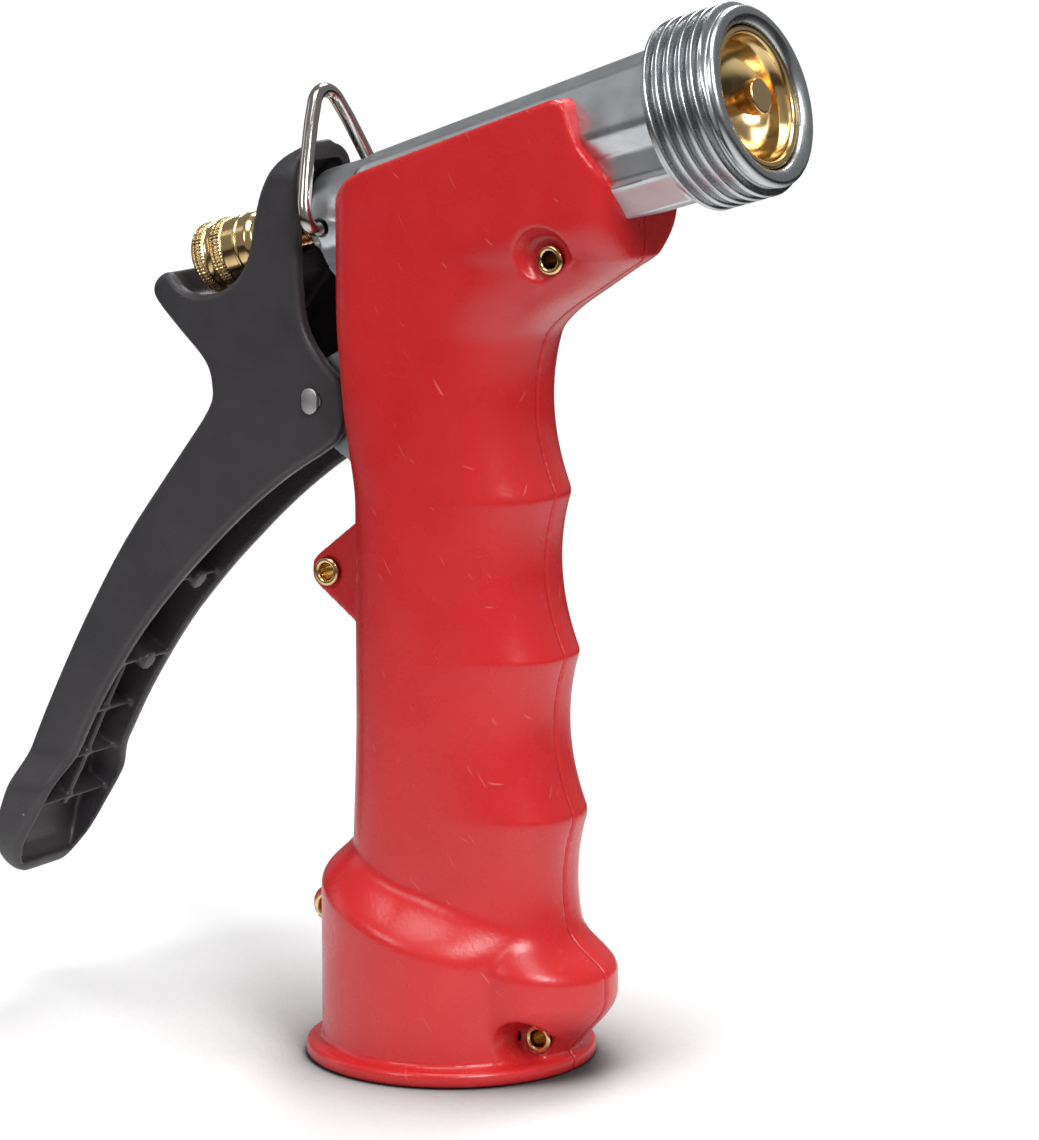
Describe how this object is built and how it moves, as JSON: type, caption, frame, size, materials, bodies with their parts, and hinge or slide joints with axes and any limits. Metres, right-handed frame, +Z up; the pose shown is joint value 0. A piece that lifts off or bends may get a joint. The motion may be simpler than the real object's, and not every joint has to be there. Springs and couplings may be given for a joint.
{
  "type": "pistol-grip spray nozzle",
  "caption": "Insulated pistol-grip water spray nozzle: threaded metal barrel, two-part moulded grip, rear squeeze lever and flow nut.",
  "frame": {"origin": "On the face the grip stands on, in the symmetry plane, below the middle of the overall length. The axis of the round foot and of the inlet socket is at x = +10.78 mm.", "axes": "+X towards the outlet, +Z up the handle away from the inlet, +Y towards the left grip shell; the lever is on the -X side."},
  "size_m": [0.1268, 0.0408, 0.1493],
  "materials": {
    "red_plastic": "satin, fine moulded grain",
    "black_nylon": "satin glass-filled nylon",
    "cast_zinc": "satin plated zinc casting",
    "brass": "turned and polished",
    "nickel_wire": "bright nickel plate",
    "grey_steel": "dull zinc-plated steel",
    "black_rubber": "matt"
  },
  "bodies": {
    "nozzle_body": {"body_casting": "cast_zinc", "nozzle_insert": "brass", "insert_gasket": "black_rubber", "stem_packing": "black_rubber", "packing_washer": "brass", "gland_nut": "grey_steel", "inlet_washer": "black_rubber", "grip_right": "red_plastic", "grip_left": "red_plastic", "rivet_head": "brass", "rivet_back": "brass", "rivet_foot_back": "brass", "rivet_foot_front": "brass", "lever_pin": "grey_steel", "return_spring": "grey_steel"},
    "lever": {"lever": "black_nylon"},
    "stem": {"valve_stem": "brass", "jet_tip": "brass", "seat_washer": "black_rubber", "spring_collar": "grey_steel", "collar_clip": "grey_steel"},
    "nut_washer": {"nut_washer": "grey_steel"},
    "flow_nut": {"flow_nut": "brass"},
    "bail": {"bail": "nickel_wire"}
  },
  "joints": [
    {"name": "lever_squeeze", "type": "hinge", "parent": "nozzle_body", "child": "lever", "pos_m": [-0.00722, 0, 0.0921], "axis": [0, -1, 0], "range_deg": [0, 18], "stiffness_Nm_per_rad": 2.4},
    {"name": "stem_slide", "type": "slide", "parent": "nozzle_body", "child": "stem", "axis": [-0.9563, 0, -0.2924], "range_m": [0, 0.0074], "deforming": ["return_spring"]},
    {"name": "nut_travel", "type": "slide", "parent": "stem", "child": "nut_washer", "axis": [-0.9563, 0, -0.2924], "range_m": [0, 0.00141]},
    {"name": "nut_turn", "type": "hinge", "parent": "nut_washer", "child": "flow_nut", "pos_m": [-0.0246, 0, 0.11124], "axis": [-0.9563, 0, -0.2924], "range_deg": [0, 720]},
    {"name": "bail_swing", "type": "hinge", "parent": "nozzle_body", "child": "bail", "pos_m": [-0.00572, 0, 0.1163], "axis": [0, 1, 0], "range_deg": [-2, 39]}
  ],
  "couplings": [
    {"joint": "stem_slide", "follows": "lever_squeeze", "m_per_rad": 0.0235},
    {"joint": "nut_travel", "follows": "nut_turn", "m_per_rad": 0.00011141}
  ]
}
